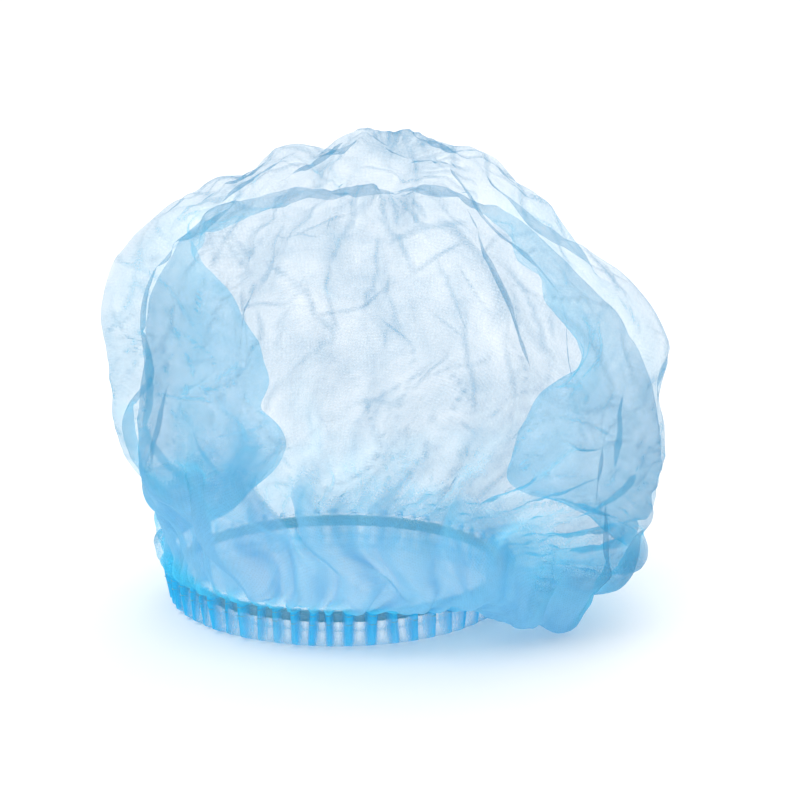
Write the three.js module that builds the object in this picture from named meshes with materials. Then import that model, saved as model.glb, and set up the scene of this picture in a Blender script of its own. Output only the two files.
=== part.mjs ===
// Disposable bouffant cap: a puffed crown of thin nonwoven cloth, gathered onto a flat elastic
// that runs inside a pleated hem. Millimetres, +Z up. The cap stands on its hem: its front is -Y,
// its left side as seen from the front is -X. Everything is drawn about the axis of the head
// opening, and the finished cap is then centred on its own outline.
import * as THREE from "three";

// ---- driving dimensions ----
const OPENING = { halfWidth: 63, halfDepth: 59 }; // centre line of the elastic, at rest
const CLOTH = 1; // wall of the crown
const GAP = 0.3; // clearance between pieces that touch
const ELASTIC = { foot: 10, height: 4.5, thickness: 1, steps: 48 }; // foot is its lower edge
const HEM = { height: 15, ply: 1.2, pleats: 48, pleatDepth: 3.2 };
const CROWN_CELLS = { around: 76, up: 24 };
const CELL_SPREAD = { around: 0.18, up: 1.2 }; // 0 and 1 would be even
const CORE = new THREE.Vector3(16, 4, 92); // the folds of the crown point at this place

// The crown's level sections from the hem to the tip: how far each one reaches from the opening's
// axis. The crown leans out to the right, its upper left shoulder sits lower, and its tip is behind.
const SECTIONS = [
  { z: 15.3, left: 63, right: 63, front: 59, back: 59 },
  { z: 17, left: 65, right: 86, front: 65, back: 68 },
  { z: 20, left: 67, right: 106, front: 72, back: 78 },
  { z: 26, left: 69, right: 119, front: 79, back: 87 },
  { z: 36, left: 75, right: 126, front: 84, back: 93 },
  { z: 50, left: 87, right: 129, front: 88, back: 97 },
  { z: 66, left: 94, right: 130, front: 90, back: 99 },
  { z: 84, left: 96, right: 129, front: 91, back: 100 },
  { z: 102, left: 96, right: 126, front: 90, back: 98 },
  { z: 118, left: 94, right: 118, front: 87, back: 95 },
  { z: 132, left: 90, right: 105, front: 82, back: 90 },
  { z: 145, left: 81, right: 92, front: 73, back: 83 },
  { z: 157, left: 66, right: 80, front: 61, back: 73 },
  { z: 167, left: 43, right: 68, front: 42, back: 61 },
  { z: 176, left: 16, right: 52, front: 14, back: 46 },
  { z: 182, left: -26, right: 26, front: -23, back: 23 },
];
const SQUARENESS = 2.5; // 2 is an ellipse; more makes the four faces of a section flatter

// The deep valley that parts the front lobe of the crown from the rear one, over the whole rim,
// and how far the front lobe's sides stand in from the rear lobe's.
const VALLEY = { y: -8, halfWidth: 15, sideDepth: 28, topDepth: 12, startsAt: 26, fullAt: 62 };
const FRONT_INSET = { left: 15, right: 7, over: 30 };

// The main dents (depth above 0) and puffs (below 0). angle is in plan from +X, low and high are
// shares of the way up from the hem, width is half the width in degrees, lean turns the fold.
const FOLDS = [
  { angle: 164, low: 0.26, high: 0.48, width: 9, lean: 10, depth: 10 }, // left side, halfway up
  { angle: 158, low: 0.14, high: 0.34, width: 12, lean: -6, depth: -4 }, // pouch below that dent
  { angle: 148, low: 0.56, high: 0.88, width: 12, lean: 14, depth: 7 }, // upper left shoulder
  { angle: 205, low: 0.04, high: 0.3, width: 12, lean: 10, depth: 9 }, // tuck over the hem, left
  { angle: 214, low: 0.3, high: 0.7, width: 8, lean: 12, depth: 7 }, // front, far left
  { angle: 236, low: 0.3, high: 0.82, width: 8, lean: -12, depth: 6 }, // front, left of centre
  { angle: 255, low: 0.08, high: 0.5, width: 8, lean: 12, depth: 7 }, // front, above the hem
  { angle: 268, low: 0.42, high: 0.86, width: 9, lean: 8, depth: 6 }, // front, upper middle
  { angle: 287, low: 0.1, high: 0.52, width: 8, lean: -14, depth: 8 }, // front, right of centre
  { angle: 306, low: 0.25, high: 0.8, width: 9, lean: 10, depth: 7 }, // front right
  { angle: 330, low: 0.05, high: 0.42, width: 8, lean: -10, depth: 8 }, // beside the droop
  { angle: 24, low: 0.5, high: 0.8, width: 9, lean: 12, depth: 8 }, // notch, upper right
  { angle: 20, low: 0.14, high: 0.44, width: 9, lean: -10, depth: 6 }, // right side
  { angle: 46, low: 0.2, high: 0.85, width: 9, lean: 12, depth: 7 }, // back right
  { angle: 68, low: 0.05, high: 0.6, width: 9, lean: -10, depth: 7 }, // back
  { angle: 96, low: 0.3, high: 0.88, width: 9, lean: 10, depth: 6 }, // back, middle
  { angle: 124, low: 0.06, high: 0.56, width: 9, lean: 12, depth: 7 }, // back left
];

// Where the loose cloth hangs over the hem: at the front right it droops down to the surface.
const DROOPS = [
  { angle: 312, width: 11, at: 0.075, reach: 0.04, drop: 19 },
  { angle: 336, width: 22, at: 0.15, reach: 0.09, drop: 9 },
];

const degrees = THREE.MathUtils.degToRad;
const mix = THREE.MathUtils.lerp;
const bell = (x) => Math.exp(-x * x);

// The shortest way round from angle b to angle a, in radians.
function turnBetween(a, b) {
  const turn = a - b;
  return Math.atan2(Math.sin(turn), Math.cos(turn));
}

// The share of the crown's height at which each section sits, measured along the cloth.
function sectionShares() {
  const run = [0];
  for (let k = 1; k < SECTIONS.length; k++) {
    const [a, b] = [SECTIONS[k - 1], SECTIONS[k]];
    const reach = (s) => (s.left + s.right + s.front + s.back) / 4;
    run.push(run[k - 1] + Math.hypot(b.z - a.z, reach(b) - reach(a)));
  }
  return run.map((length) => length / run[run.length - 1]);
}
const SHARES = sectionShares();

// The level section at a share of the way up, by a smooth curve through the table's rows.
function sectionAt(share) {
  const last = SECTIONS.length - 1;
  let k = 0;
  while (k < last - 1 && share > SHARES[k + 1]) k++;
  const t = (share - SHARES[k]) / (SHARES[k + 1] - SHARES[k]);
  const span = SHARES[k + 1] - SHARES[k];
  const slope = (i, column) => {
    const [a, b] = [Math.max(i - 1, 0), Math.min(i + 1, last)];
    return (SECTIONS[b][column] - SECTIONS[a][column]) / (SHARES[b] - SHARES[a]);
  };
  const section = {};
  for (const column of ["z", "left", "right", "front", "back"]) {
    const [p, q] = [SECTIONS[k][column], SECTIONS[k + 1][column]];
    const [m, n] = [slope(k, column) * span, slope(k + 1, column) * span];
    section[column] =
      (2 * t ** 3 - 3 * t ** 2 + 1) * p +
      (t ** 3 - 2 * t ** 2 + t) * m +
      (3 * t ** 2 - 2 * t ** 3) * q +
      (t ** 3 - t ** 2) * n;
  }
  return section;
}

// The smooth crown before its folds: a squarish oval at each height, an ellipse at the hem.
function plainCrown(angle, share) {
  const s = sectionAt(share);
  const power = mix(1, 2 / SQUARENESS, THREE.MathUtils.smoothstep(share, 0, 0.15));
  const [c, d] = [Math.cos(angle), Math.sin(angle)];
  const [across, along] = [Math.sign(c) * Math.abs(c) ** power, Math.sign(d) * Math.abs(d) ** power];
  const p = new THREE.Vector3(
    (s.right - s.left) / 2 + ((s.right + s.left) / 2) * across,
    (s.back - s.front) / 2 + ((s.back + s.front) / 2) * along,
    s.z,
  );
  const forward = THREE.MathUtils.smoothstep(VALLEY.y - p.y, 0, FRONT_INSET.over);
  const clearOfHem = THREE.MathUtils.smoothstep(p.z, VALLEY.startsAt, VALLEY.fullAt);
  const inset = across < 0 ? FRONT_INSET.left : FRONT_INSET.right;
  p.x -= inset * across * forward * clearOfHem;
  return p;
}

// How far the cloth is pressed towards the core by the valley round the rim.
function valleyDepth(p) {
  const upright = THREE.MathUtils.smoothstep(p.z, CORE.z, SECTIONS[SECTIONS.length - 1].z);
  const start = THREE.MathUtils.smoothstep(p.z, VALLEY.startsAt, VALLEY.fullAt);
  const depth = mix(VALLEY.sideDepth, VALLEY.topDepth, upright) * start;
  return depth * bell((p.y - VALLEY.y) / VALLEY.halfWidth);
}

// How far the cloth is pressed towards the core by the dents and puffs.
function foldDepth(angle, share) {
  let depth = 0;
  for (const fold of FOLDS) {
    const middle = (fold.low + fold.high) / 2;
    const along = (share - middle) / ((fold.high - fold.low) / 2);
    if (Math.abs(along) >= 1) continue;
    const centre = degrees(fold.angle + fold.lean * along);
    const across = turnBetween(angle, centre) / degrees(fold.width);
    depth += fold.depth * Math.cos((along * Math.PI) / 2) ** 2 * bell(across);
  }
  return depth;
}

function droopDepth(angle, share) {
  let drop = 0;
  for (const droop of DROOPS) {
    const across = turnBetween(angle, degrees(droop.angle)) / degrees(droop.width);
    drop += droop.drop * bell(across) * bell((share - droop.at) / droop.reach);
  }
  return drop * THREE.MathUtils.smoothstep(share, 0.02, 0.065);
}

function crownPoint(angle, share) {
  const p = plainCrown(angle, share);
  const inward = CORE.clone().sub(p).normalize();
  const settled = THREE.MathUtils.smoothstep(share, 0, 0.08);
  p.addScaledVector(inward, (valleyDepth(p) + foldDepth(angle, share)) * settled);
  p.z = Math.max(p.z - droopDepth(angle, share), CLOTH + GAP);
  return p;
}

// A closed shell from a grid of outer points (rows of points, then one tip point): the inner
// skin lies one cloth thickness inside it, and a rim joins the two round the open foot.
function shellGeometry(rows, tip, thickness) {
  const around = rows[0].length;
  const outer = [...rows.flat(), tip];
  const tipIndex = outer.length - 1;
  const skin = [];
  for (let j = 0; j < rows.length; j++) {
    for (let i = 0; i < around; i++) {
      const [a, b] = [j * around + i, j * around + ((i + 1) % around)];
      if (j === rows.length - 1) skin.push(a, b, tipIndex);
      else skin.push(a, b, b + around, a, b + around, a + around);
    }
  }
  const open = new THREE.BufferGeometry().setFromPoints(outer).setIndex(skin);
  open.computeVertexNormals();
  const normals = open.getAttribute("normal");
  const inner = outer.map((p, k) => {
    const n = new THREE.Vector3().fromBufferAttribute(normals, k);
    return p.clone().addScaledVector(n, -thickness);
  });
  const faces = [...skin];
  for (let k = 0; k < skin.length; k += 3) {
    faces.push(skin[k] + outer.length, skin[k + 2] + outer.length, skin[k + 1] + outer.length);
  }
  for (let i = 0; i < around; i++) {
    const next = (i + 1) % around;
    faces.push(i, i + outer.length, next + outer.length);
    faces.push(i, next + outer.length, next);
  }
  return new THREE.BufferGeometry().setFromPoints([...outer, ...inner]).setIndex(faces);
}

// The crown's cells are closer together at its two sides, where the valley is, and near the hem.
function crownGeometry() {
  const rows = [];
  for (let j = 0; j < CROWN_CELLS.up; j++) {
    const share = (j / CROWN_CELLS.up) ** CELL_SPREAD.up;
    const row = [];
    for (let i = 0; i < CROWN_CELLS.around; i++) {
      const turn = (2 * Math.PI * i) / CROWN_CELLS.around;
      row.push(crownPoint(turn - CELL_SPREAD.around * Math.sin(2 * turn), share));
    }
    rows.push(row);
  }
  return shellGeometry(rows, crownPoint(0, 1), CLOTH);
}

// A ring round the opening. profile(i) gives one section's corners as { out, z }, anticlockwise
// where out points to the right; out is the distance from the elastic's centre line.
function ringGeometry(steps, profile) {
  const points = [];
  for (let i = 0; i < steps; i++) {
    const angle = (2 * Math.PI * i) / steps;
    const [a, b] = [OPENING.halfWidth, OPENING.halfDepth];
    const outward = new THREE.Vector3(b * Math.cos(angle), a * Math.sin(angle), 0).normalize();
    for (const corner of profile(i)) {
      const p = new THREE.Vector3(a * Math.cos(angle), b * Math.sin(angle), corner.z);
      points.push(p.addScaledVector(outward, corner.out));
    }
  }
  const corners = points.length / steps;
  const faces = [];
  for (let i = 0; i < steps; i++) {
    for (let k = 0; k < corners; k++) {
      const next = (k + 1) % corners;
      const [a, b] = [i * corners + k, i * corners + next];
      const shift = (i + 1) % steps === 0 ? -i * corners : corners;
      faces.push(a, a + shift, b + shift, a, b + shift, b);
    }
  }
  return new THREE.BufferGeometry().setFromPoints(points).setIndex(faces);
}

// The hem is a casing, open at the top where the crown's cloth comes out of it: the elastic runs
// round its upper part, and the rest is the ruffle that the cap stands on. The outer ply stands
// out in pleats: each takes three steps round the ring, and the third is its ridge.
function hemGeometry() {
  const clear = ELASTIC.thickness / 2 + GAP;
  return ringGeometry(HEM.pleats * 3, (i) => {
    const ridge = i % 3 === 2 ? HEM.pleatDepth : 0;
    return [
      { out: -clear - HEM.ply, z: 0 },
      { out: clear + HEM.ply + ridge, z: 0 },
      { out: clear + HEM.ply + ridge, z: HEM.height },
      { out: clear + ridge, z: HEM.height },
      { out: clear + ridge, z: HEM.ply },
      { out: -clear, z: HEM.ply },
      { out: -clear, z: HEM.height },
      { out: -clear - HEM.ply, z: HEM.height },
    ];
  });
}

function elasticGeometry() {
  const [half, foot] = [ELASTIC.thickness / 2, ELASTIC.foot];
  return ringGeometry(ELASTIC.steps, () => [
    { out: -half, z: foot },
    { out: half, z: foot },
    { out: half, z: foot + ELASTIC.height },
    { out: -half, z: foot + ELASTIC.height },
  ]);
}

function piece(name, geometry, color, roughness) {
  const material = new THREE.MeshStandardMaterial({ color, roughness, metalness: 0 });
  const mesh = new THREE.Mesh(geometry, material);
  mesh.name = name;
  return mesh;
}

const cap = new THREE.Group();
cap.add(piece("crown", crownGeometry(), 0x9fd3f2, 0.75));
cap.add(piece("gathered_hem", hemGeometry(), 0x35a2dd, 0.75));
cap.add(piece("elastic_band", elasticGeometry(), 0xe9eef2, 0.85));

// The frame's origin is the middle of the cap's outline, on the surface that it stands on.
const outline = new THREE.Box3().setFromObject(cap);
const middle = outline.getCenter(new THREE.Vector3());
cap.position.set(-middle.x, -middle.y, 0);

export default cap;
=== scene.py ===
"""Disposable bouffant cap: crumpled see-through cloth gathered on an elastic.

Run as a script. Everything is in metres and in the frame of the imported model: +Z is up, -Y is the
front of the cap, and the cap stands on its hem at z = 0.
"""

import math

import bpy
import numpy as np
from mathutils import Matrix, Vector
from mathutils.bvhtree import BVHTree


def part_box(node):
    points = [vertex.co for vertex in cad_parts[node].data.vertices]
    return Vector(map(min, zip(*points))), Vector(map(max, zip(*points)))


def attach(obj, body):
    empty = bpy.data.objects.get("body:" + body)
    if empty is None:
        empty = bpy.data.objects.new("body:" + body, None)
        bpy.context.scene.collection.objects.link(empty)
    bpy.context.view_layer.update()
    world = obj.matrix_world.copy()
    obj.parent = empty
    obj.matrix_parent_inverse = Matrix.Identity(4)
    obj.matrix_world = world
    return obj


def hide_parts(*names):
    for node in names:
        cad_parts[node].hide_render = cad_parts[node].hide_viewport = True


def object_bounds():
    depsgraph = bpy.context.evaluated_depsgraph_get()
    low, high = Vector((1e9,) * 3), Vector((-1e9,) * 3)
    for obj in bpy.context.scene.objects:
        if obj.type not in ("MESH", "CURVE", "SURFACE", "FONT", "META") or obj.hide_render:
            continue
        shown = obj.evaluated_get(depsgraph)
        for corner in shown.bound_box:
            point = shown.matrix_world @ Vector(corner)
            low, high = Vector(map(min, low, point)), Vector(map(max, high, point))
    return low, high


bl_info = {
    "name": "Bouffant Cap",
    "version": (1, 0, 0),
    "blender": (4, 5, 0),
    "location": "View3D > Sidebar > Bouffant Cap",
    "description": "Builds a disposable bouffant cap of thin nonwoven cloth round its packed model",
    "category": "Object",
}

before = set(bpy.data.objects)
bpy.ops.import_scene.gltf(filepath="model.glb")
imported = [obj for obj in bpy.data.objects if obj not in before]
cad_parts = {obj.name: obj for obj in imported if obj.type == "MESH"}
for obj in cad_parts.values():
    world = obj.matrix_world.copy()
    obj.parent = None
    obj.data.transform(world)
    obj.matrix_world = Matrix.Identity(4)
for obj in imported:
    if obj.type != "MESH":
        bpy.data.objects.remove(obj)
CAD_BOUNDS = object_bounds()
CROWN_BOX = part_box("crown")
HEM_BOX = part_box("gathered_hem")
ELASTIC_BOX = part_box("elastic_band")

MM = 0.001
BODY = "root"
ELASTIC_THICKNESS = 1 * MM
OPENING = (Vector(ELASTIC_BOX[0]) + Vector(ELASTIC_BOX[1])) / 2
OPENING.z = 0
HALF_WIDTH = (ELASTIC_BOX[1][0] - ELASTIC_BOX[0][0] - ELASTIC_THICKNESS) / 2
HALF_DEPTH = (ELASTIC_BOX[1][1] - ELASTIC_BOX[0][1] - ELASTIC_THICKNESS) / 2
HEM_TOP = HEM_BOX[1][2]
CORE = (Vector(CROWN_BOX[0]) + Vector(CROWN_BOX[1])) / 2
GUSSET_Y = CORE.y - 7.5 * MM
SEED = 11

# The two side gussets, where the crown is folded in between its front and rear lobes. reach is how
# far the inner crease is from the opening's axis at each height, to the left (-) or to the right.
GUSSETS = {
    -1: [
        {"height": 24, "reach": 64},
        {"height": 40, "reach": 40},
        {"height": 62, "reach": 30},
        {"height": 90, "reach": 30},
        {"height": 120, "reach": 43},
        {"height": 145, "reach": 60},
        {"height": 165, "reach": 60},
    ],
    1: [
        {"height": 24, "reach": 96},
        {"height": 42, "reach": 70},
        {"height": 62, "reach": 74},
        {"height": 82, "reach": 84},
        {"height": 102, "reach": 94},
        {"height": 122, "reach": 84},
        {"height": 145, "reach": 68},
        {"height": 165, "reach": 56},
    ],
}

# Small waves (mm) in the gussets' inner crease.
GUSSET_EDGE = [
    {"length": 8.3, "depth": 2.2},
    {"length": 5.1, "depth": 1.3},
    {"length": 2.9, "depth": 0.7},
]

# Waves of slack cloth before it settles: how many go round, how deep each is, and where they are
# on the way up from the hem (0) to the tip (1). drift turns a wave as it climbs.
SLACK_WAVES = [
    {"count": 27, "depth": 3.2, "low": 0.0, "high": 0.34, "drift": 0.5},
    {"count": 19, "depth": 3.6, "low": 0.02, "high": 0.55, "drift": -0.9},
    {"count": 13, "depth": 3.2, "low": 0.12, "high": 0.8, "drift": 0.7},
    {"count": 8, "depth": 3.0, "low": 0.3, "high": 0.97, "drift": -0.5},
]

# Sharp creases left by packing. Those with a count run up the crown, that many round it; the others
# run straight over the flat cut at an angle (degrees), spacing apart (mm). height (mm) is above 0
# for a ridge and below 0 for a groove, flank (mm) is how far its slope reaches, wander is how
# unevenly it runs, and patch (mm) is the size of the places where it shows.
CREASES = [
    {"count": 17, "height": 2.4, "flank": 8, "wander": 0.5, "patch": 95},
    {"count": 26, "height": -2.0, "flank": 7, "wander": 0.5, "patch": 75},
    {"count": 39, "height": 1.5, "flank": 5, "wander": 0.5, "patch": 55},
    {"angle": 22, "spacing": 78, "height": 1.3, "flank": 6, "wander": 0.2, "patch": 60},
    {"angle": 66, "spacing": 86, "height": -1.3, "flank": 6, "wander": 0.2, "patch": 65},
    {"angle": 118, "spacing": 71, "height": 1.2, "flank": 5, "wander": 0.25, "patch": 60},
    {"angle": 158, "spacing": 64, "height": -1.1, "flank": 4, "wander": 0.25, "patch": 50},
    {"angle": 42, "spacing": 37, "height": 0.9, "flank": 3.5, "wander": 0.3, "patch": 34},
    {"angle": 134, "spacing": 33, "height": -0.8, "flank": 3, "wander": 0.3, "patch": 30},
]

# How dense the crown's cloth is, in layers. The spare cloth of a place shows by its spare share
# anywhere, by spare_front more over the front, and by spare_pleats in the pleats near the hem. flame
# and haze are added just above the hem, haze at the front only. The rest are shares taken off.
DENSITY = {
    "spare": 0.1,
    "spare_front": 0.2,
    "spare_pleats": 1.2,
    "flame": 0.1,
    "haze": 3.2,
    "haze_in_pleats": 2.0,
    "low_left": 0.45,
    "gusset": 0.28,
    "valley": 0.5,
}
SWELL_SIZE = 38 * MM
SWELL_SHARE = 0.13
# How strongly the lighter haze colour is painted over the front above the hem: painted light that makes
# up for the shade of the fine folds.
HAZE_PAINTED_LIGHT = 0.9
CREASE_LAYERS = 0.85
EDGE_ON_ROOM = 0.78

# How dense the hem's cloth is, in layers: between the pleats, in the outer and the inner ply's
# pleats, along the raw edge, and the share taken off at the back.
HEM_DENSITY = {"flat": 0.45, "outer": 5.0, "inner": 1.4, "raw_edge": 1.3, "back": 0.75}


# ---------------------------------------------------------------- settings


class CrownSettings(bpy.types.PropertyGroup):
    """The puffed crown."""

    columns: bpy.props.IntProperty(
        name="Columns", description="Cloth cells round the crown before subdivision",
        default=416, min=60, max=600,
    )
    rows: bpy.props.IntProperty(
        name="Rows", description="Cloth cells from the hem to the tip before subdivision",
        default=108, min=20, max=200,
    )
    cut_diameter: bpy.props.FloatProperty(
        name="Cut Diameter", description="Width of the round sheet that the cap is sewn from",
        default=0.53, min=0.3, max=0.8, unit="LENGTH",
    )
    slack: bpy.props.FloatProperty(
        name="Slack", description="How much more cloth there is round the crown than it spans",
        default=1.3, min=1.0, max=1.6, subtype="FACTOR",
    )
    valley_width: bpy.props.FloatProperty(
        name="Gusset Width", description="Half the width of the fold between the two lobes",
        default=0.011, min=0.003, max=0.03, unit="LENGTH",
    )
    settle_frames: bpy.props.IntProperty(
        name="Settling Steps", description="Steps of cloth simulation",
        default=26, min=1, max=100,
    )
    hold: bpy.props.FloatProperty(
        name="Hold", description="How firmly the cloth keeps to the crown's shape as it settles",
        default=0.15, min=0.0, max=1.0, subtype="FACTOR",
    )
    cover: bpy.props.FloatProperty(
        name="Cover", description="Share of the light that one layer of the cloth stops",
        default=0.27, min=0.02, max=0.95, subtype="FACTOR",
    )
    colour: bpy.props.FloatVectorProperty(
        name="Cloth Colour", description="Colour of one layer of the cloth", subtype="COLOR",
        size=3, default=(0.045, 0.30, 0.50), min=0, max=1,
    )
    # Painted light: a deeper blue painted in the gussets and where the cloth bunches, standing in for
    # light scattered through several layers.
    fold_painted_light_colour: bpy.props.FloatVectorProperty(
        name="Deep Colour", description="Colour where the cloth is folded on itself", subtype="COLOR",
        size=3, default=(0.10, 0.70, 0.97), min=0, max=1,
    )
    # Painted light: a lighter colour over the front just above the hem, standing in for light scattered
    # through the fine folds and making up for their own shade.
    haze_painted_light_colour: bpy.props.FloatVectorProperty(
        name="Haze Colour", description="Colour of the fine folds just above the hem",
        subtype="COLOR", size=3, default=(0.27, 0.60, 0.84), min=0, max=1,
    )
    crumple: bpy.props.FloatProperty(
        name="Crumple", description="How far the sharp creases stand out, as a share of their height",
        default=1.0, min=0, max=3, subtype="FACTOR",
    )


class HemSettings(bpy.types.PropertyGroup):
    """The gathered hem."""

    pleats: bpy.props.IntProperty(
        name="Pleats", description="Pinched pleats round the hem", default=56, min=12, max=120
    )
    steps_per_pleat: bpy.props.IntProperty(
        name="Steps per Pleat", description="Cells across one pleat", default=12, min=6, max=24
    )
    pleat_depth: bpy.props.FloatProperty(
        name="Pleat Depth", description="How far the pleats stand out from the elastic",
        default=0.0044, min=0.001, max=0.012, unit="LENGTH",
    )
    cut_height: bpy.props.FloatProperty(
        name="Cut Height", description="Width of the cloth's edge that is folded into the hem",
        default=0.028, min=0.01, max=0.06, unit="LENGTH",
    )
    raw_edge: bpy.props.FloatProperty(
        name="Raw Edge", description="Height of the cut edge that is turned in behind the pleats",
        default=0.0062, min=0.002, max=0.014, unit="LENGTH",
    )
    ply_gap: bpy.props.FloatProperty(
        name="Ply Gap", description="From the elastic's centre line to either ply",
        default=0.0013, min=0.0006, max=0.004, unit="LENGTH",
    )
    colour: bpy.props.FloatVectorProperty(
        name="Hem Colour", description="Colour of the hem between its pleats", subtype="COLOR",
        size=3, default=(0.10, 0.50, 0.75), min=0, max=1,
    )
    # Painted light: a deeper blue painted along the pleats, standing in for light scattered through the
    # gathered layers.
    fold_painted_light_colour: bpy.props.FloatVectorProperty(
        name="Pleat Colour", description="Colour of the gathered pleats", subtype="COLOR",
        size=3, default=(0.05, 0.63, 0.97), min=0, max=1,
    )


class ElasticSettings(bpy.types.PropertyGroup):
    """The elastic in the hem."""

    cords: bpy.props.IntProperty(
        name="Cords", description="Rubber cords side by side in the braid", default=7, min=3, max=12
    )
    colour: bpy.props.FloatVectorProperty(
        name="Elastic Colour", description="Colour of the braid", subtype="COLOR",
        size=3, default=(0.34, 0.60, 0.68), min=0, max=1,
    )


class ThreadSettings(bpy.types.PropertyGroup):
    """The thread that holds the pleats to the elastic."""

    stitch: bpy.props.FloatProperty(
        name="Stitch Length", description="Length of one stitch", default=0.0026,
        min=0.001, max=0.01, unit="LENGTH",
    )
    radius: bpy.props.FloatProperty(
        name="Thread Radius", description="Half the thickness of the thread", default=0.00017,
        min=0.00005, max=0.001, unit="LENGTH",
    )
    colour: bpy.props.FloatVectorProperty(
        name="Thread Colour", description="Colour of the thread", subtype="COLOR",
        size=3, default=(0.16, 0.42, 0.50), min=0, max=1,
    )


class StudioSettings(bpy.types.PropertyGroup):
    """Floor, lights and camera."""

    elevation: bpy.props.FloatProperty(
        name="Elevation", description="How far the camera looks down",
        default=math.radians(15), min=0, max=math.radians(89), subtype="ANGLE",
    )
    view_width: bpy.props.FloatProperty(
        name="View Width", description="Width of the picture at the cap", default=0.309,
        min=0.1, max=2, unit="LENGTH",
    )
    lens: bpy.props.FloatProperty(
        name="Lens", description="Focal length in millimetres", default=120, min=20, max=300
    )
    paper: bpy.props.FloatVectorProperty(
        name="Floor Colour", description="Colour of the floor", subtype="COLOR",
        size=3, default=(0.94, 0.945, 0.95), min=0, max=1,
    )


# ---------------------------------------------------------------- shapes


def smooth(x, low, high):
    """0 below low, 1 above high, and an even curve between them."""
    t = np.clip((x - low) / (high - low), 0, 1)
    return t * t * (3 - 2 * t)


def bell(x):
    return np.exp(-x * x)


def ring_point(turn, out, height):
    """A point beside the elastic's centre line, out metres outside it and at that height."""
    a, b = HALF_WIDTH, HALF_DEPTH
    x, y = a * np.cos(turn), b * np.sin(turn)
    nx, ny = b * np.cos(turn), a * np.sin(turn)
    length = np.hypot(nx, ny)
    x, y, z = np.broadcast_arrays(
        OPENING.x + x + out * nx / length, OPENING.y + y + out * ny / length, height
    )
    return np.stack([x, y, z], axis=-1)


def resample(points, count, closed):
    """The same line through count points at even distances along it."""
    if closed:
        points = np.concatenate([points, points[:1]])
    run = np.concatenate([[0], np.cumsum(np.linalg.norm(np.diff(points, axis=0), axis=1))])
    at = np.linspace(0, run[-1], count + 1 if closed else count)
    line = np.stack([np.interp(at, run, points[:, k]) for k in range(3)], axis=-1)
    return line[:-1] if closed else line


def crown_surface(columns, rows):
    """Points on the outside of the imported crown, row by row from the hem to the tip."""
    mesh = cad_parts["crown"].data
    mesh.calc_loop_triangles()
    corners = [tuple(v.co) for v in mesh.vertices]
    tree = BVHTree.FromPolygons(corners, [tuple(t.vertices) for t in mesh.loop_triangles])
    turns = np.linspace(0, 2 * math.pi, columns, endpoint=False)
    foot = ring_point(turns, 0.0, HEM_TOP)
    far = 2 * max(CAD_BOUNDS[1][k] - CAD_BOUNDS[0][k] for k in range(3))
    tip = Vector((0.0, 0.0, 1.0))
    grid = np.empty((rows, columns, 3))
    grid[0] = foot
    for i in range(columns):
        start = (Vector(foot[i]) - CORE).normalized()
        swing = start.rotation_difference(tip)
        axis, angle = swing.to_axis_angle()
        for j in range(1, rows):
            ray = start.copy()
            ray.rotate(type(swing)(axis, angle * (j - 0.5) / (rows - 1)))
            hit = tree.ray_cast(CORE + ray * far, -ray)[0]
            grid[j, i] = hit if hit is not None else grid[j - 1, i]
    return grid


def fold_gussets(points, width):
    """Folds the crown's two sides in, down to the inner crease that GUSSETS gives, unevenly."""
    out = points.copy()
    across = points[..., 0] - OPENING.x
    height = points[..., 2]
    share = bell((points[..., 1] - GUSSET_Y) / width)
    share = share * smooth(height, 20 * MM, 44 * MM) * (1 - smooth(height, 150 * MM, 172 * MM))
    for side, rows in GUSSETS.items():
        heights = [row["height"] * MM for row in rows]
        crease = np.interp(height, heights, [row["reach"] * MM for row in rows])
        for wave in GUSSET_EDGE:
            along = height / (wave["length"] * MM) + side * wave["depth"]
            crease = crease + wave["depth"] * MM * np.sin(along)
        beyond = np.maximum(across * side - crease, 0)
        out[..., 0] -= side * beyond * share
    return out


def gusset_share(points):
    """How deep in a gusset each point is, from 0 on the lobes to 1 at the inner crease."""
    across = np.abs(points[:, 0] - OPENING.x)
    height = points[:, 2]
    between = bell((points[:, 1] - GUSSET_Y) / (17 * MM))
    standing = smooth(height, 18 * MM, 35 * MM) * (1 - smooth(height, 150 * MM, 168 * MM))
    return between * smooth(across, 20 * MM, 30 * MM) * standing


def fit_to_box(places, shares):
    """Draws the settled crown in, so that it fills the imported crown's box and its foot stays put."""
    low, high = places.min(axis=0), places.max(axis=0)
    away = smooth(shares, 0.0, 0.3)[:, None]
    fitted = places.copy()
    for k in range(3):
        floor = OPENING.z if k == 2 else CROWN_BOX[0][k]
        bottom = 0.0 if k == 2 else low[k]
        share = (places[:, k] - bottom) / (high[k] - bottom)
        fitted[:, k] = floor + share * (CROWN_BOX[1][k] - floor)
    return places + (fitted - places) * away


def slack_waves(turns, shares, draw):
    """How far the slack cloth stands out before it settles, for each turn and share."""
    depth = np.zeros(np.broadcast_shapes(turns.shape, shares.shape))
    for wave in SLACK_WAVES:
        for part in range(3):
            count = wave["count"] + part * 2 - 2
            phase, twist = draw.uniform(0, 2 * math.pi), draw.uniform(0.6, 1.4) * wave["drift"]
            middle, half = (wave["low"] + wave["high"]) / 2, (wave["high"] - wave["low"]) / 2
            along = np.clip(np.abs(shares - middle) / half, 0, 1)
            swell = np.cos(along * math.pi / 2) ** 2
            depth += wave["depth"] * MM / 3 * swell * np.sin(
                count * (turns + twist * shares) + phase
            )
    return depth


def ring_counts(rings, columns, spacing):
    """How many cells each ring gets: halved towards the tip, where the rings are short."""
    counts = []
    for ring in rings:
        length = np.linalg.norm(ring - np.roll(ring, 1, axis=0), axis=1).sum()
        count = columns
        while count > 12 and count % 2 == 0 and length / count < spacing:
            count //= 2
        counts.append(count if not counts else min(count, counts[-1]))
    return counts


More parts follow.
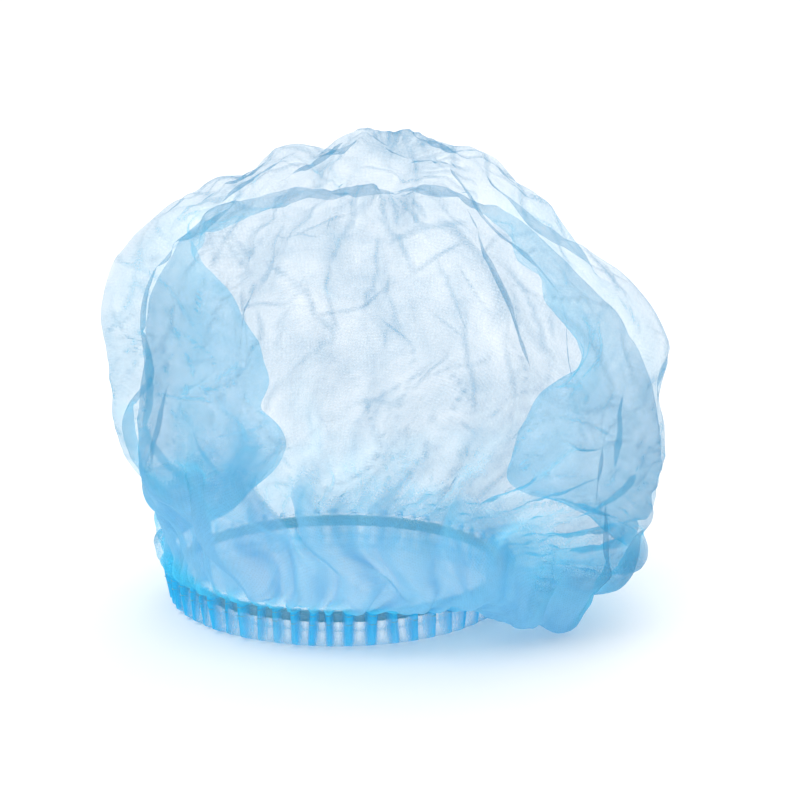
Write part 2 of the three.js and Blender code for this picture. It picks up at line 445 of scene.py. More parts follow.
def crown_grid(settings):
    """The crown's cloth before it settles: its points, turn and share of each, and its faces."""
    dense = fold_gussets(crown_surface(2 * settings.columns, 2 * settings.rows), settings.valley_width)
    lines = [resample(dense[:, i], settings.rows, False) for i in range(dense.shape[1])]
    rings = np.stack(lines, axis=1)[:-1]
    tip = lines[0][-1]
    counts = ring_counts(rings, settings.columns, 1.5 * MM)
    points, turns, shares, starts = [], [], [], []
    for j, ring in enumerate(rings):
        starts.append(len(points))
        points.extend(resample(ring, counts[j], True))
        turns.extend(np.linspace(0, 2 * math.pi, counts[j], endpoint=False))
        shares.extend([j / (settings.rows - 1)] * counts[j])
    faces = []
    for j in range(len(rings) - 1):
        low, high, n, m = starts[j], starts[j + 1], counts[j], counts[j + 1]
        for i in range(m):
            if n == m:
                k = (i + 1) % n
                faces.append((low + i, low + k, high + k, high + i))
                continue
            a, b, c = low + 2 * i, low + 2 * i + 1, low + (2 * i + 2) % n
            p, q = high + i, high + (i + 1) % m
            faces += [(a, b, p), (b, q, p), (b, c, q)]
    last, n = starts[-1], counts[-1]
    faces += [(last + i, last + (i + 1) % n, len(points)) for i in range(n)]
    points.append(tip)
    turns.append(0.0)
    shares.append(1.0)
    return np.array(points), np.array(turns), np.array(shares), faces


def vertex_normals(mesh):
    normals = np.empty(len(mesh.vertices) * 3)
    mesh.vertices.foreach_get("normal", normals)
    return normals.reshape(-1, 3)


def vertex_places(mesh):
    places = np.empty(len(mesh.vertices) * 3)
    mesh.vertices.foreach_get("co", places)
    return places.reshape(-1, 3)


def edge_pairs(mesh):
    pairs = np.empty(len(mesh.edges) * 2, dtype=int)
    mesh.edges.foreach_get("vertices", pairs)
    return pairs.reshape(-1, 2)


def relaxed(places, pairs, fixed, times, strength=0.5):
    """Places drawn towards the middle of their neighbours, the fixed ones kept."""
    places = places.copy()
    ties = np.bincount(pairs.ravel(), minlength=len(places)).astype(float)[:, None]
    for _ in range(times):
        total = np.zeros_like(places)
        np.add.at(total, pairs[:, 0], places[pairs[:, 1]])
        np.add.at(total, pairs[:, 1], places[pairs[:, 0]])
        step = (total / np.maximum(ties, 1) - places) * strength
        step[fixed] = 0
        places += step
    return places


def float_layer(mesh, name, values):
    layer = mesh.attributes.new(name, "FLOAT", "POINT")
    layer.data.foreach_set("value", np.asarray(values, dtype=np.float32))


def read_layer(mesh, name):
    values = np.empty(len(mesh.vertices), dtype=np.float32)
    mesh.attributes[name].data.foreach_get("value", values)
    return values.astype(float)


def new_piece(name, points, faces):
    mesh = bpy.data.meshes.new(name)
    mesh.from_pydata([tuple(p) for p in points], [], faces)
    mesh.validate()
    piece = bpy.data.objects.new(name, mesh)
    bpy.context.scene.collection.objects.link(piece)
    return piece


def apply_modifiers(piece):
    """Swaps the piece's mesh for the one that its modifiers make."""
    evaluated = piece.evaluated_get(bpy.context.evaluated_depsgraph_get())
    mesh = bpy.data.meshes.new_from_object(evaluated)
    old = piece.data
    piece.modifiers.clear()
    piece.data = mesh
    mesh.name = piece.name
    bpy.data.meshes.remove(old)


def flat_uv(mesh, turns, radii):
    """Lays the cloth's texture out as it was cut: a turn and a distance from the middle."""
    loops = np.empty(len(mesh.loops), dtype=int)
    mesh.loops.foreach_get("vertex_index", loops)
    flat = np.stack([radii * np.cos(turns), radii * np.sin(turns)], axis=-1)
    layer = mesh.uv_layers.new(name="cut")
    layer.data.foreach_set("uv", flat[loops].astype(np.float32).ravel())


def weight_group(piece, name, weights):
    group = piece.vertex_groups.new(name=name)
    for index, weight in enumerate(weights):
        group.add([index], float(weight), "REPLACE")
    return group.name


def settle(piece, cut, hold, steps):
    """Gathers the cloth into its place from the shape in cut, which is too wide, so it buckles."""
    place = vertex_places(piece.data)
    piece.data.vertices.foreach_set("co", cut.astype(np.float32).ravel())
    piece.data.update()
    piece.shape_key_add(name="Basis")
    key = piece.shape_key_add(name="gathered")
    key.data.foreach_set("co", place.astype(np.float32).ravel())
    key.value = 0
    key.keyframe_insert("value", frame=1)
    key.value = 1
    key.keyframe_insert("value", frame=1 + steps // 2)
    cloth = piece.modifiers.new("cloth", "CLOTH")
    settings = cloth.settings
    settings.quality = 5
    settings.mass = 0.15
    settings.tension_stiffness = 25
    settings.compression_stiffness = 25
    settings.shear_stiffness = 8
    settings.bending_stiffness = 0.4
    settings.air_damping = 3
    settings.effector_weights.gravity = 0
    settings.vertex_group_mass = weight_group(piece, "held", hold)
    settings.pin_stiffness = 1
    cloth.collision_settings.use_collision = False
    scene = bpy.context.scene
    cloth.point_cache.frame_start = 1
    cloth.point_cache.frame_end = steps
    for step in range(1, steps + 1):
        scene.frame_set(step)
    settled = piece.evaluated_get(bpy.context.evaluated_depsgraph_get())
    places = vertex_places(settled.data)
    piece.modifiers.clear()
    piece.vertex_groups.clear()
    action = piece.data.shape_keys.animation_data.action
    piece.shape_key_clear()
    bpy.data.actions.remove(action)
    piece.data.vertices.foreach_set("co", places.astype(np.float32).ravel())
    piece.data.update()
    scene.frame_set(1)


# ---------------------------------------------------------------- pleats


def pleat_edges(count):
    """Where each pleat starts, as a turn. They are uneven, as gathers are."""
    draw = np.random.default_rng(SEED + 1)
    widths = draw.uniform(0.72, 1.28, count)
    edges = np.concatenate([[0], np.cumsum(widths)]) / widths.sum() * 2 * math.pi
    return edges, draw.uniform(0.65, 1.15, count), draw.uniform(-1, 1, count), draw.uniform(0, 1, count)


def pleat_profile(turns, count, height):
    """How far out each point of the gathers is, 0 to 1, and how high up the crown its pleat reaches."""
    edges, sizes, leans, reaches = pleat_edges(count)
    turns = np.mod(turns, 2 * math.pi)
    index = np.clip(np.searchsorted(edges, turns, side="right") - 1, 0, count - 1)
    lean = leans[index] * 0.22 * (height - HEM_TOP / 2) / HEM_TOP
    along = (turns - edges[index]) / (edges[index + 1] - edges[index]) - 0.5
    ridge = np.exp(-(((along - lean) / 0.22) ** 4)) * sizes[index]
    return ridge, reaches[index]


def pleat_out(hem, ridge, height):
    """How far the outer ply's pleats stand out at a height, less the gap to the elastic."""
    return hem.pleat_depth * ridge * (0.55 + 0.45 * smooth(np.asarray(height), 0, HEM_TOP))


def tidy_normals(mesh):
    mesh.polygons.foreach_set("use_smooth", [True] * len(mesh.polygons))
    mesh.update()


def creases(mesh):
    """How sharply the cloth is bent at each vertex, from 0 to about 1."""
    normals = vertex_normals(mesh)
    places = vertex_places(mesh)
    pairs = edge_pairs(mesh)
    turn = np.linalg.norm(normals[pairs[:, 0]] - normals[pairs[:, 1]], axis=1)
    length = np.linalg.norm(places[pairs[:, 0]] - places[pairs[:, 1]], axis=1)
    bend = turn / np.maximum(length, 0.3 * MM)
    most = np.zeros(len(places))
    np.maximum.at(most, pairs[:, 0], bend)
    np.maximum.at(most, pairs[:, 1], bend)
    return smooth(most, 120.0, 700.0)


def swell(flat, size, draw):
    """An uneven swell over the flat cut: about as many places above 0 as below, mostly within 1."""
    total = np.zeros(len(flat))
    waves = 9
    for _ in range(waves):
        way, phase = draw.uniform(0, 2 * math.pi, 2)
        length = size * draw.uniform(0.7, 1.7)
        across = flat @ np.array([math.cos(way), math.sin(way)])
        total += np.sin(2 * math.pi * across / length + phase)
    return total / math.sqrt(waves)


def crumple(flat, turns, draw):
    """How far the creases stand out at each point of the flat cut, and how strong they are."""
    lift, lines = np.zeros(len(flat)), np.zeros(len(flat))
    for crease in CREASES:
        if "count" in crease:
            along = crease["count"] * turns / (2 * math.pi)
            spacing = 2 * math.pi * np.linalg.norm(flat, axis=1) / crease["count"]
        else:
            way = math.radians(crease["angle"])
            spacing = crease["spacing"] * MM
            along = flat @ np.array([math.cos(way), math.sin(way)]) / spacing
        along = along + crease["wander"] * swell(flat, 110 * MM, draw)
        strength = smooth(swell(flat, crease["patch"] * MM, draw), 0.0, 1.0)
        away = np.abs(along - np.round(along)) * spacing
        lift += crease["height"] * MM * strength * np.exp(-away / (crease["flank"] * MM))
        width = (0.35 + 0.1 * crease["flank"]) * MM
        lines = np.maximum(lines, strength ** 1.5 * np.exp(-((away / width) ** 4)))
    return lift, lines


def cloth_layers(mesh, flat, blur):
    """How much flat cloth there is in each place for the room that it takes up."""
    loops = np.empty(len(mesh.loops), dtype=int)
    mesh.loops.foreach_get("vertex_index", loops)
    sizes = np.empty(len(mesh.polygons), dtype=int)
    mesh.polygons.foreach_get("loop_total", sizes)
    starts = np.concatenate([[0], np.cumsum(sizes)[:-1]])
    ends = starts + sizes
    following = np.arange(len(loops)) + 1
    following[ends - 1] = starts
    a, b = flat[loops], flat[loops[following]]
    cut = np.abs(np.add.reduceat(a[:, 0] * b[:, 1] - a[:, 1] * b[:, 0], starts)) / 2
    taken = np.empty(len(mesh.polygons))
    mesh.polygons.foreach_get("area", taken)
    face = np.repeat(np.arange(len(sizes)), sizes)
    count = len(mesh.vertices)
    cut = np.bincount(loops, weights=cut[face], minlength=count)
    taken = np.bincount(loops, weights=taken[face], minlength=count)
    pairs = edge_pairs(mesh)
    both = np.stack([cut, taken], axis=-1)
    both = relaxed(both, pairs, np.zeros(count, dtype=bool), blur)
    return both[:, 0] / np.maximum(both[:, 1], 1e-9)


def set_density(mesh, flat, turns, shares, pleats, near):
    """Sets how many layers lie in each place, and the masks of painted light: where the colour is
    painted deeper for light through folded cloth, and where it is painted milky above the hem.
    """
    ridge, reach = pleats
    places = vertex_places(mesh)
    layers = np.clip(cloth_layers(mesh, flat, 8), 0.7, 4)
    gusset = read_layer(mesh, "gusset")
    # The depth mask paints the deeper colour in the gussets and where cloth bunches: painted light, for
    # the colour that light takes through several layers.
    depth = np.maximum(gusset, smooth(layers, 1.0, 2.2))
    float_layer(mesh, "depth", np.clip(depth, 0, 1))

    # Most of the spare cloth lies in the pleats by the hem, and more of it shows over the front.
    spare = np.maximum(layers - 1, 0)
    front = smooth(-np.sin(turns), -0.2, 0.6)
    in_pleats = near * (0.35 + 0.65 * front) * (0.1 + DENSITY["spare_pleats"] * ridge)
    shown = DENSITY["spare"] + DENSITY["spare_front"] * front + in_pleats
    layers = np.minimum(layers, 1) + spare * shown

    left = smooth(-np.cos(turns), -0.5, 0.3)
    low = (1 - smooth(places[:, 2], 30 * MM, 90 * MM)) * left
    layers *= 1 - DENSITY["low_left"] * low

    # Folds run up from the hem like flames, each to the height that its pleat reaches.
    flame = smooth(shares, 0.03, 0.08)
    flame = flame * (1 - smooth(shares, 0.13 + 0.05 * reach, 0.23 + 0.13 * reach))
    # The haze mask paints the lighter haze colour over the front above the hem: painted light, making
    # up for the fine folds' shade.
    haze = smooth(-np.sin(turns), -0.3, 0.5) * flame
    float_layer(mesh, "haze", HAZE_PAINTED_LIGHT * haze)
    layers += DENSITY["flame"] * flame
    layers += haze * (DENSITY["haze"] + DENSITY["haze_in_pleats"] * ridge)

    layers *= 1 + SWELL_SHARE * swell(flat, SWELL_SIZE, np.random.default_rng(SEED + 3))
    valley = bell((places[:, 1] - GUSSET_Y) / (14 * MM)) * smooth(places[:, 2], 110 * MM, 150 * MM)
    layers *= (1 - DENSITY["gusset"] * gusset) * (1 - DENSITY["valley"] * valley)
    float_layer(mesh, "layers", layers)


# ---------------------------------------------------------------- materials


def node(tree, kind, at, **values):
    made = tree.nodes.new(kind)
    made.location = at
    for name, value in values.items():
        setattr(made, name, value)
    return made


def maths(tree, operation, at, first, second=None, third=None):
    made = node(tree, "ShaderNodeMath", at, operation=operation)
    for socket, value in zip(made.inputs, (first, second, third)):
        if value is None:
            continue
        if isinstance(value, (int, float)):
            socket.default_value = value
        else:
            tree.links.new(value, socket)
    return made.outputs[0]


def span(tree, at, value, low, high, new_low, new_high):
    made = node(tree, "ShaderNodeMapRange", at)
    tree.links.new(value, made.inputs["Value"])
    names = ("From Min", "From Max", "To Min", "To Max")
    for name, number in zip(names, (low, high, new_low, new_high)):
        made.inputs[name].default_value = number
    return made.outputs["Result"]


def plain_material(name):
    """A new material, with its node tree and its main shader."""
    material = bpy.data.materials.new(name)
    material.use_nodes = True
    tree = material.node_tree
    return material, tree, tree.nodes["Principled BSDF"]


def blend(tree, at, factor, first, second):
    """A mix of two colours, each given as numbers or as a socket."""
    made = node(tree, "ShaderNodeMix", at, data_type="RGBA")
    tree.links.new(factor, made.inputs["Factor"])
    for name, colour in (("A", first), ("B", second)):
        if isinstance(colour, bpy.types.NodeSocket):
            tree.links.new(colour, made.inputs[name])
        else:
            made.inputs[name].default_value = (*colour, 1)
    return made.outputs["Result"]


def relief(tree, at, height, strength, distance):
    """Fine bumps, as the normal for a shader."""
    made = node(tree, "ShaderNodeBump", at)
    made.inputs["Strength"].default_value = strength
    made.inputs["Distance"].default_value = distance
    tree.links.new(height, made.inputs["Height"])
    return made.outputs["Normal"]


def nonwoven(name, colours, cover):
    """Spunbond cloth: tangled fibres with bond points, denser where it is creased or doubled.

    colours are those of one layer, of the painted light in deep folds and of the painted light of the
    haze above the hem.
    """
    material, tree, _ = plain_material(name)
    tree.nodes.clear()
    output = node(tree, "ShaderNodeOutputMaterial", (1500, 0))
    uv = node(tree, "ShaderNodeUVMap", (-1400, 0), uv_map="cut")
    layers = node(tree, "ShaderNodeAttribute", (-600, -500), attribute_name="layers")
    crease = node(tree, "ShaderNodeAttribute", (-600, -700), attribute_name="crease")

    def texture(kind, at, scale, **settings):
        made = node(tree, kind, at, **settings)
        made.inputs["Scale"].default_value = scale
        tree.links.new(uv.outputs["UV"], made.inputs["Vector"])
        return made

    fibres = texture("ShaderNodeTexNoise", (-1100, 300), 1500, noise_dimensions="2D")
    fibres.inputs["Detail"].default_value = 4
    fibres.inputs["Distortion"].default_value = 1.4
    clouds = texture("ShaderNodeTexNoise", (-1100, 50), 130, noise_dimensions="2D")
    clouds.inputs["Detail"].default_value = 3
    bonds = texture("ShaderNodeTexVoronoi", (-1100, -200), 800, voronoi_dimensions="2D")
    bonds.inputs["Randomness"].default_value = 0.0

    fibre = span(tree, (-850, 300), fibres.outputs["Fac"], 0.3, 0.7, 0.75, 1.25)
    cloud = span(tree, (-850, 50), clouds.outputs["Fac"], 0.3, 0.7, 0.86, 1.14)
    bond = span(tree, (-850, -200), bonds.outputs["Distance"], 0.14, 0.34, 0.8, 1.04)
    weight = maths(tree, "MULTIPLY", (-600, 200), fibre, cloud)
    weight = maths(tree, "MULTIPLY", (-450, 100), weight, bond)
    bent = maths(tree, "MULTIPLY_ADD", (-400, -600), crease.outputs["Fac"], CREASE_LAYERS,
                 layers.outputs["Fac"])
    weight = maths(tree, "MULTIPLY", (-250, 0), weight, bent)

    # Cloth that is seen edge on has more fibres in the way.
    edge = node(tree, "ShaderNodeLayerWeight", (-600, -300))
    edge.inputs["Blend"].default_value = 0.5
    room = maths(tree, "SUBTRACT", (-400, -300), 1.0, edge.outputs["Facing"])
    room = maths(tree, "MAXIMUM", (-250, -300), room, EDGE_ON_ROOM)
    weight = maths(tree, "DIVIDE", (-50, 0), weight, room)
    clear = maths(tree, "POWER", (100, 0), 1.0 - cover, weight)
    solid = maths(tree, "SUBTRACT", (250, 0), 1.0, clear)

    normal = relief(tree, (300, -400), weight, 0.25, 0.2 * MM)
    # The depth mask paints the deeper fold colour: painted light, standing in for light scattered
    # through layered cloth.
    depth = node(tree, "ShaderNodeAttribute", (100, 500), attribute_name="depth")
    tint = blend(tree, (350, 500), depth.outputs["Fac"], colours[0], colours[1])
    # The haze mask paints a lighter colour over the front above the hem: painted light that makes up
    # for the fine folds' shade.
    haze = node(tree, "ShaderNodeAttribute", (350, 700), attribute_name="haze")
    tint = blend(tree, (480, 500), haze.outputs["Fac"], tint, colours[2])
    front = node(tree, "ShaderNodeBsdfPrincipled", (600, 200))
    tree.links.new(tint, front.inputs["Base Color"])
    front.inputs["Roughness"].default_value = 0.62
    front.inputs["Specular IOR Level"].default_value = 0.3
    tree.links.new(normal, front.inputs["Normal"])
    through = node(tree, "ShaderNodeBsdfTranslucent", (600, -250))
    tree.links.new(tint, through.inputs["Color"])
    tree.links.new(normal, through.inputs["Normal"])
    cloth = node(tree, "ShaderNodeMixShader", (950, 0))
    cloth.inputs["Fac"].default_value = 0.5
    tree.links.new(front.outputs["BSDF"], cloth.inputs[1])
    tree.links.new(through.outputs["BSDF"], cloth.inputs[2])
    gap = node(tree, "ShaderNodeBsdfTransparent", (950, 200))
    shown = node(tree, "ShaderNodeMixShader", (1250, 0))
    tree.links.new(solid, shown.inputs["Fac"])
    tree.links.new(gap.outputs["BSDF"], shown.inputs[1])
    tree.links.new(cloth.outputs["Shader"], shown.inputs[2])
    tree.links.new(shown.outputs["Shader"], output.inputs["Surface"])
    return material


def braid(name, colour, cords):
    """Flat braided elastic: rubber cords under a fine cover of yarn, with painted shade in the grooves
    between the cords.
    """
    material, tree, shader = plain_material(name)
    uv = node(tree, "ShaderNodeUVMap", (-1100, 0), uv_map="cut")
    split = node(tree, "ShaderNodeSeparateXYZ", (-900, 0))
    tree.links.new(uv.outputs["UV"], split.inputs["Vector"])
    ribs_and_groove_shade = maths(tree, "MULTIPLY", (-700, 100), split.outputs["Y"], math.pi * cords)
    ribs_and_groove_shade = maths(tree, "SINE", (-550, 100), ribs_and_groove_shade)
    ribs_and_groove_shade = maths(tree, "ABSOLUTE", (-400, 100), ribs_and_groove_shade)
    fuzz = node(tree, "ShaderNodeTexNoise", (-700, -150), noise_dimensions="2D")
    fuzz.inputs["Scale"].default_value = 900
    tree.links.new(uv.outputs["UV"], fuzz.inputs["Vector"])
    height = maths(tree, "MULTIPLY_ADD", (-250, 0), fuzz.outputs["Fac"], 0.35, ribs_and_groove_shade)
    # The grooves between the cords are painted darker: painted shade, besides their bump.
    tint = blend(tree, (-100, 200), ribs_and_groove_shade, [c * 0.72 for c in colour], colour)
    tree.links.new(tint, shader.inputs["Base Color"])
    normal = relief(tree, (-50, -200), height, 0.6, 0.3 * MM)
    tree.links.new(normal, shader.inputs["Normal"])
    shader.inputs["Roughness"].default_value = 0.85
    return material


def yarn(name, colour):
    """Spun polyester thread: matt, with a fine twist."""
    material, tree, shader = plain_material(name)
    place = node(tree, "ShaderNodeTexCoord", (-900, 0))
    twist = node(tree, "ShaderNodeTexNoise", (-700, 0))
    twist.inputs["Scale"].default_value = 2500
    tree.links.new(place.outputs["Object"], twist.inputs["Vector"])
    # The tone varies at random along the twist, and as the bump uses the same noise, the raised bits
    # are painted lighter and the hollows darker: painted shade.
    dark, light = [c * 0.7 for c in colour], [min(c * 1.3, 1) for c in colour]
    tint = blend(tree, (-400, 200), twist.outputs["Fac"], dark, light)
    tree.links.new(tint, shader.inputs["Base Color"])
    normal = relief(tree, (-300, -200), twist.outputs["Fac"], 0.4, 0.1 * MM)
    tree.links.new(normal, shader.inputs["Normal"])
    shader.inputs["Roughness"].default_value = 0.8
    return material


# ---------------------------------------------------------------- operators


class CAP_OT_crown(bpy.types.Operator):
    """Make the crumpled crown"""

    bl_idname = "cap.crown"
    bl_label = "Crown"

    def execute(self, context):
        settings = context.scene.cap_crown
        hem = context.scene.cap_hem
        points, turns, shares, faces = crown_grid(settings)
        piece = new_piece("crown_cloth", points, faces)
        mesh = piece.data
        foot = shares <= 1.5 / (settings.rows - 1)
        pairs = edge_pairs(mesh)
        points = relaxed(points, pairs, foot, 4)
        mesh.vertices.foreach_set("co", points.astype(np.float32).ravel())
        mesh.update()
        waves = slack_waves(turns, shares, np.random.default_rng(SEED))
        waves *= smooth(shares, 0.0, 0.06)
        points = points + vertex_normals(mesh) * waves[:, None]
        points[:, 2] = np.maximum(points[:, 2], 1.2 * MM)
        mesh.vertices.foreach_set("co", points.astype(np.float32).ravel())
        mesh.update()
        float_layer(mesh, "turn_x", np.cos(turns))
        float_layer(mesh, "turn_y", np.sin(turns))
        float_layer(mesh, "share", shares)
        float_layer(mesh, "gusset", gusset_share(points))
        cut = points.copy()
        slack = 1 + (settings.slack - 1) * (1 - 0.8 * shares)
        axis = np.array([CORE.x, CORE.y]) * smooth(shares, 0.1, 0.4)[:, None]
        axis += np.array([OPENING.x, OPENING.y]) * (1 - smooth(shares, 0.1, 0.4))[:, None]
        cut[:, :2] = axis + (cut[:, :2] - axis) * slack[:, None]
        low = 1 - smooth(points[:, 2], 14 * MM, 36 * MM)
        hold = np.where(foot, 1.0, settings.hold + (0.6 - settings.hold) * low)
        settle(piece, cut, hold, settings.settle_frames)
        finer = piece.modifiers.new("finer", "SUBSURF")
        finer.levels = 1
        finer.render_levels = 1
        apply_modifiers(piece)
        mesh = piece.data
        places = vertex_places(mesh)
        turns = np.arctan2(read_layer(mesh, "turn_y"), read_layer(mesh, "turn_x"))
        shares = read_layer(mesh, "share")
        places = fit_to_box(places, shares)
        mesh.vertices.foreach_set("co", places.astype(np.float32).ravel())
        mesh.update()
        radius = settings.cut_diameter / 2 - hem.cut_height
        radii = (1 - shares) * radius
        flat = np.stack([radii * np.cos(turns), radii * np.sin(turns)], axis=-1)
        lift, lines = crumple(flat, turns, np.random.default_rng(SEED + 2))
        settled = smooth(shares, 0.03, 0.12)
        places += vertex_normals(mesh) * (settings.crumple * lift * settled)[:, None]
        pleats = pleat_profile(turns, hem.pleats, HEM_TOP)
        ridge, reach = pleats
        near = 1 - smooth(shares, 0.02, 0.08 + 0.1 * reach)
        outward = ring_point(turns, 1.0, 0.0) - ring_point(turns, 0.0, 0.0)
        places += outward * ((hem.ply_gap + hem.pleat_depth * ridge) * near)[:, None]
        places[:, 2] = np.maximum(places[:, 2], 0.6 * MM)
        places = relaxed(places, edge_pairs(mesh), shares < 0.95, 30)
        mesh.vertices.foreach_set("co", places.astype(np.float32).ravel())
        tidy_normals(mesh)
        float_layer(mesh, "crease", np.clip(0.25 * creases(mesh) + lines * settled, 0, 1))
        set_density(mesh, flat, turns, shares, pleats, near)
        flat_uv(mesh, turns, radii)
        mesh.materials.append(
            nonwoven("crown_cloth", (settings.colour, settings.fold_painted_light_colour, settings.haze_painted_light_colour),
                     settings.cover)
        )
        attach(piece, BODY)
        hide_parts("crown")
        return {"FINISHED"}


class CAP_OT_hem(bpy.types.Operator):
    """Make the gathered hem"""

    bl_idname = "cap.hem"
    bl_label = "Gathered Hem"

    def execute(self, context):
        settings = context.scene.cap_hem
        crown = context.scene.cap_crown
        around = settings.pleats * settings.steps_per_pleat
        turns = np.linspace(0, 2 * math.pi, around, endpoint=False)
        steps = 14
        # From the top of the outer ply down, round the fold at the foot, and up the inner ply.
        profile = []
        for k in range(steps + 1):
            profile.append((1.0, HEM_TOP + 0.4 * MM - (HEM_TOP - 1.2 * MM) * k / steps))
        for k in range(1, 4):
            profile.append((math.cos(math.pi * k / 4), 1.6 * MM - 1.3 * MM * math.sin(math.pi * k / 4)))
        for k in range(steps + 1):
            profile.append((-1.0, 1.6 * MM + (HEM_TOP - 2.6 * MM) * k / steps))
        back = smooth(np.sin(turns), -0.1, 0.7)
        rows, layers, pleat_painted_light_rows = [], [], []
        for side, height in profile:
            ridge, _ = pleat_profile(turns, settings.pleats, height)
            up = smooth(np.full(around, height), 0.8 * MM, 3.5 * MM)
            depth = pleat_out(settings, ridge, height) * (1.0 if side > 0 else 0.4)
            out = side * settings.ply_gap + np.sign(side + 1e-9) * depth * abs(side)
            rows.append(ring_point(turns, out, height + 0.6 * MM * ridge * (1 - up)))
            ply = HEM_DENSITY["outer" if side > 0 else "inner"]
            thick = HEM_DENSITY["flat"] + ply * ridge * (0.2 + 0.8 * up)
            thick = thick * (1 - HEM_DENSITY["back"] * back)
            if side < 0:
                edge = bell((height - settings.raw_edge) / (0.8 * MM))
                thick = thick + HEM_DENSITY["raw_edge"] * edge
            layers.append(thick)
            # The pleats are painted in the deeper colour: painted light, for light scattered through
            # their gathered layers.
            pleat_painted_light_rows.append(np.clip(ridge * 1.2, 0, 1))
        points = np.concatenate(rows)
        faces = []
        for j in range(len(rows) - 1):
            for i in range(around):
                k = (i + 1) % around
                a, b = j * around, (j + 1) * around
                faces.append((b + i, b + k, a + k, a + i))
        piece = new_piece("hem_cloth", points, faces)
        mesh = piece.data
        tidy_normals(mesh)
        float_layer(mesh, "layers", np.concatenate(layers))
        float_layer(mesh, "depth", np.concatenate(pleat_painted_light_rows))
        float_layer(mesh, "crease", creases(mesh) * 0.5)
        run = np.repeat(np.arange(len(rows)) / (len(rows) - 1), around)
        radius = crown.cut_diameter / 2 - settings.cut_height * (1 - run)
        flat_uv(mesh, np.tile(turns, len(rows)), radius)
        mesh.materials.append(
            nonwoven("hem_cloth", (settings.colour, settings.fold_painted_light_colour, crown.haze_painted_light_colour),
                     crown.cover)
        )
        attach(piece, BODY)
        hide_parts("gathered_hem")
        return {"FINISHED"}


class CAP_OT_elastic(bpy.types.Operator):
    """Make the braided elastic"""

    bl_idname = "cap.elastic"
    bl_label = "Elastic"

    def execute(self, context):
        settings = context.scene.cap_elastic
        low, high = ELASTIC_BOX[0][2], ELASTIC_BOX[1][2]
        around = 360
        turns = np.linspace(0, 2 * math.pi, around, endpoint=False)
        ripple = 0.25 * MM * np.sin(turns * 56) + 0.15 * MM * np.sin(turns * 31 + 1)
        half = 0.35 * MM
        round_edge = 0.3 * MM
        section = [
            (-half, low + round_edge), (0, low), (half, low + round_edge),
            (half, high - round_edge), (0, high), (-half, high - round_edge),
        ]
        rows = [ring_point(turns, out + ripple, z) for out, z in section]
        points = np.concatenate(rows)
        faces = []
        for j in range(len(rows)):
            a, b = j * around, ((j + 1) % len(rows)) * around
            for i in range(around):
                k = (i + 1) % around
                faces.append((a + i, a + k, b + k, b + i))
        piece = new_piece("elastic_braid", points, faces)
        mesh = piece.data
        tidy_normals(mesh)
        loops = np.empty(len(mesh.loops), dtype=int)
        mesh.loops.foreach_get("vertex_index", loops)
        places = vertex_places(mesh)
        along = np.tile(turns * HALF_WIDTH, len(rows))
        up = (places[:, 2] - low) / (high - low)
        layer = mesh.uv_layers.new(name="cut")
        layer.data.foreach_set("uv", np.stack([along, up], axis=-1)[loops].astype(np.float32).ravel())
        mesh.materials.append(braid("elastic_braid", settings.colour, settings.cords))
        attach(piece, BODY)
        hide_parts("elastic_band")
        return {"FINISHED"}


class CAP_OT_thread(bpy.types.Operator):
    """Make the two rows of stitches along the elastic"""

    bl_idname = "cap.thread"
    bl_label = "Thread"

    def execute(self, context):
        settings = context.scene.cap_thread
        hem = context.scene.cap_hem
        sides, steps = 6, 4
        turns = np.linspace(0, 2 * math.pi, 6000)
        points, faces = [], []
        for height in (ELASTIC_BOX[0][2] + 0.5 * MM, ELASTIC_BOX[1][2] - 0.5 * MM):
            ridge, _ = pleat_profile(turns, hem.pleats, height)
            out = hem.ply_gap + pleat_out(hem, ridge, height) + settings.radius
            line = ring_point(turns, out, height)
            run = np.concatenate([[0], np.cumsum(np.linalg.norm(np.diff(line, axis=0), axis=1))])
            count = int(run[-1] / settings.stitch)
            for k in range(count):
                # Each stitch dips into the cloth at both its ends.
                share = np.linspace(0, 1, steps + 1)
                at = (k + 0.06 + 0.88 * share) * run[-1] / count
                middle = np.stack([np.interp(at, run, line[:, n]) for n in range(3)], axis=-1)
                out = middle - np.array([OPENING.x, OPENING.y, height])
                out /= np.linalg.norm(out, axis=1)[:, None]
                middle += out * ((np.sin(math.pi * share) - 0.8) * settings.radius)[:, None]
                along = np.gradient(middle, axis=0)
                along /= np.linalg.norm(along, axis=1)[:, None]
                across = np.cross(along, out)
                start = len(points)
                for ring, spread, lift in zip(middle, across, out):
                    for n in range(sides):
                        way = 2 * math.pi * n / sides
                        side = math.cos(way) * spread + math.sin(way) * lift
                        points.append(ring + settings.radius * side)
                for j in range(steps):
                    for n in range(sides):
                        a, b = start + j * sides + n, start + j * sides + (n + 1) % sides
                        faces.append((a, b, b + sides, a + sides))
                faces.append(tuple(range(start + sides - 1, start - 1, -1)))
                faces.append(tuple(range(start + steps * sides, start + (steps + 1) * sides)))
        piece = new_piece("hem_thread", points, faces)
        tidy_normals(piece.data)
        piece.data.materials.append(yarn("hem_thread", settings.colour))
        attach(piece, BODY)
        return {"FINISHED"}


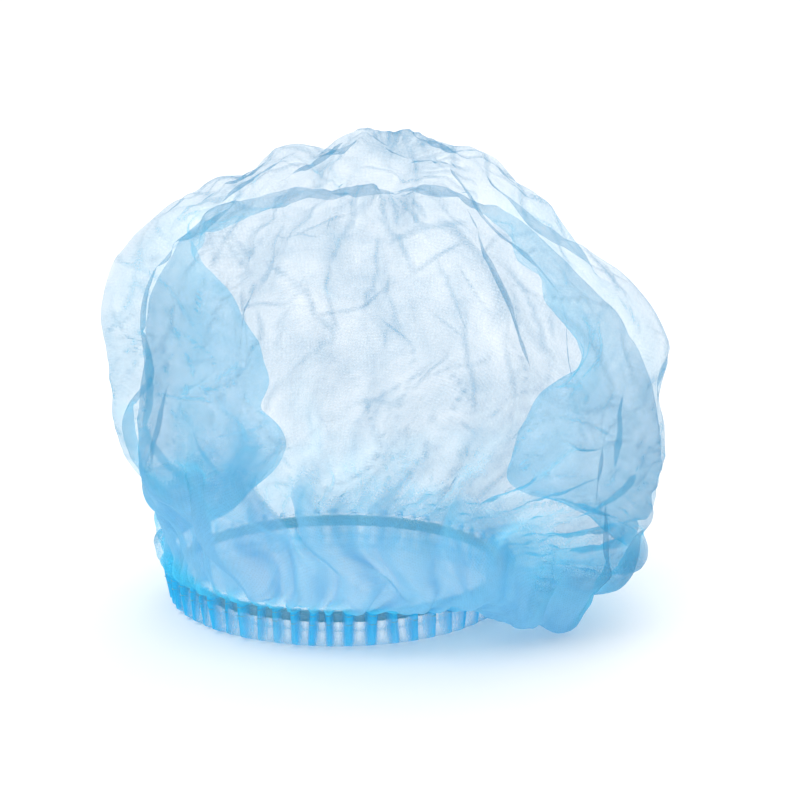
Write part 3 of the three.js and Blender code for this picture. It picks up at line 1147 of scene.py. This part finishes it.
class CAP_OT_studio(bpy.types.Operator):
    """Set the floor, the lights and the camera"""

    bl_idname = "cap.studio"
    bl_label = "Studio"

    def execute(self, context):
        settings = context.scene.cap_studio
        scene = context.scene
        half = 20.0
        corners = [(-half, -half, 0), (half, -half, 0), (half, half, 0), (-half, half, 0)]
        floor = new_piece("floor", corners, [(0, 1, 2, 3)])
        paper, _, shader = plain_material("floor_paper")
        shader.inputs["Base Color"].default_value = (*settings.paper, 1)
        shader.inputs["Roughness"].default_value = 0.7
        shader.inputs["Specular IOR Level"].default_value = 0.2
        floor.data.materials.append(paper)

        world = bpy.data.worlds.new("studio")
        world.use_nodes = True
        world.node_tree.nodes["Background"].inputs["Color"].default_value = (1, 1, 1, 1)
        world.node_tree.nodes["Background"].inputs["Strength"].default_value = 1.1
        scene.world = world

        def lamp(name, at, size, power):
            data = bpy.data.lights.new(name, "AREA")
            data.shape = "DISK"
            data.size = size
            data.energy = power
            made = bpy.data.objects.new(name, data)
            made.location = at
            aim = Vector((0, 0, 0.08)) - Vector(at)
            made.rotation_euler = aim.to_track_quat("-Z", "Y").to_euler()
            scene.collection.objects.link(made)

        lamp("key", (-0.7, -0.6, 1.3), 0.9, 4)
        lamp("back", (0.3, 1.1, 0.9), 0.9, 4)

        data = bpy.data.cameras.new("camera")
        data.lens = settings.lens
        data.sensor_width = 36
        camera = bpy.data.objects.new("camera", data)
        distance = settings.view_width * settings.lens / data.sensor_width
        aim = Vector((OPENING.x + 0.0234, OPENING.y, 0.0796))
        back = Vector((0, -math.cos(settings.elevation), math.sin(settings.elevation)))
        camera.location = aim + back * distance
        camera.rotation_euler = (-back).to_track_quat("-Z", "Y").to_euler()
        scene.collection.objects.link(camera)
        scene.camera = camera
        scene.view_settings.view_transform = "Standard"
        scene.cycles.transparent_max_bounces = 32
        return {"FINISHED"}


class CAP_PT_panel(bpy.types.Panel):
    bl_idname = "CAP_PT_panel"
    bl_label = "Bouffant Cap"
    bl_space_type = "VIEW_3D"
    bl_region_type = "UI"
    bl_category = "Bouffant Cap"

    def draw(self, context):
        for operator, group in STEPS:
            box = self.layout.box()
            box.operator(operator.bl_idname)
            settings = getattr(context.scene, group)
            for name in settings.bl_rna.properties.keys():
                if name not in ("rna_type", "name"):
                    box.prop(settings, name)


GROUPS = {
    "cap_crown": CrownSettings,
    "cap_hem": HemSettings,
    "cap_elastic": ElasticSettings,
    "cap_thread": ThreadSettings,
    "cap_studio": StudioSettings,
}
STEPS = [
    (CAP_OT_studio, "cap_studio"),
    (CAP_OT_elastic, "cap_elastic"),
    (CAP_OT_hem, "cap_hem"),
    (CAP_OT_thread, "cap_thread"),
    (CAP_OT_crown, "cap_crown"),
]
CLASSES = [*GROUPS.values(), *(operator for operator, _ in STEPS), CAP_PT_panel]


def register():
    for cls in CLASSES:
        bpy.utils.register_class(cls)
    for name, group in GROUPS.items():
        setattr(bpy.types.Scene, name, bpy.props.PointerProperty(type=group))


def unregister():
    for name in GROUPS:
        delattr(bpy.types.Scene, name)
    for cls in reversed(CLASSES):
        bpy.utils.unregister_class(cls)


def main():
    register()
    for operator, _ in STEPS:
        area, name = operator.bl_idname.split(".")
        getattr(getattr(bpy.ops, area), name)()


if __name__ == "__main__":
    main()
